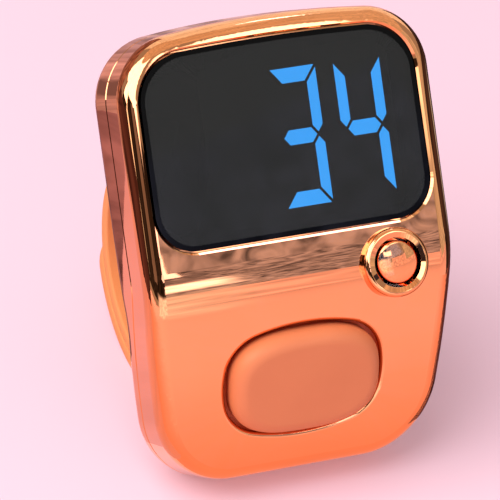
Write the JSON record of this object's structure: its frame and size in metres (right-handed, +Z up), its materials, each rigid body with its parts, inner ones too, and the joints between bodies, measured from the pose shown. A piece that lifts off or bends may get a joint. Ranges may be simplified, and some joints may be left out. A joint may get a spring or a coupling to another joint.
{
  "type": "digital tasbih counter",
  "caption": "Digital tasbih counter worn on a finger: bent plated case with a dark number display, a raised reset button, a large soft count pad and an adjustable silicone band.",
  "frame": {"origin": "on the table, under the middle of the object's box, as it rests on its heel and its band", "axes": "+Z up, the display and the count pad face -Y and up, +X to the viewer's right along the finger"},
  "size_m": [0.028, 0.0302, 0.0373],
  "materials": {
    "plated_case": "moulded plastic with a copper orange plated mirror finish",
    "smoked_window": "flat smoked acrylic, polished",
    "black_tape": "double sided adhesive foam frame",
    "display_housing": "dark moulded display housing",
    "lit_bars": "clear resin bars, lit blue",
    "unlit_bars": "clear resin bars, unlit",
    "soft_pad": "matte silicone, orange",
    "silicone_band": "matte silicone, orange",
    "carrier_plastic": "dark orange moulded plastic",
    "circuit_board": "green solder mask on glass fibre board",
    "black_resin": "black chip resin",
    "switch_body": "black moulded switch body",
    "switch_plunger": "pale moulded plunger",
    "steel": "zinc plated steel",
    "spring_contact": "nickel plated spring strip",
    "cell_can": "stainless cell can",
    "ribbon": "flat ribbon, pale grey"
  },
  "bodies": {
    "case": {"front_shell": "plated_case", "rear_shell": "plated_case", "display_window": "smoked_window", "window_tape": "black_tape", "led_module": "display_housing", "lit_segments": "lit_bars", "unlit_segments": "unlit_bars", "led_pins": "steel", "main_board": "circuit_board", "controller_chip": "black_resin", "chip_resistors": "black_resin", "board_screws": "steel", "reset_switch": "switch_body", "count_switch": "switch_body", "key_board": "circuit_board", "key_board_screws": "steel", "ribbon_cable": "ribbon", "coin_cell": "cell_can", "negative_contact": "spring_contact", "positive_contact": "spring_contact", "battery_door": "plated_case", "battery_door_screw": "steel", "upper_strap": "silicone_band", "lower_strap": "silicone_band"},
    "count_key": {"count_pad": "soft_pad", "count_key": "carrier_plastic"},
    "count_plunger": {"count_plunger": "switch_plunger"},
    "reset_button": {"reset_button": "plated_case"},
    "reset_plunger": {"reset_plunger": "switch_plunger"}
  },
  "joints": [
    {"name": "count_press", "type": "slide", "parent": "case", "child": "count_key", "axis": [0, 0.9664, -0.257], "range_m": [0, 0.0005], "stiffness_N_per_m": 3000},
    {"name": "count_plunger_press", "type": "slide", "parent": "case", "child": "count_plunger", "axis": [0, 0.9664, -0.257], "range_m": [0, 0.0005]},
    {"name": "reset_press", "type": "slide", "parent": "case", "child": "reset_button", "axis": [0, 0.7892, -0.6142], "range_m": [0, 0.0003], "stiffness_N_per_m": 3000},
    {"name": "reset_plunger_press", "type": "slide", "parent": "case", "child": "reset_plunger", "axis": [0, 0.7892, -0.6142], "range_m": [0, 0.0003]}
  ],
  "couplings": [
    {"joint": "count_plunger_press", "follows": "count_press", "ratio": 1},
    {"joint": "reset_plunger_press", "follows": "reset_press", "ratio": 1}
  ]
}
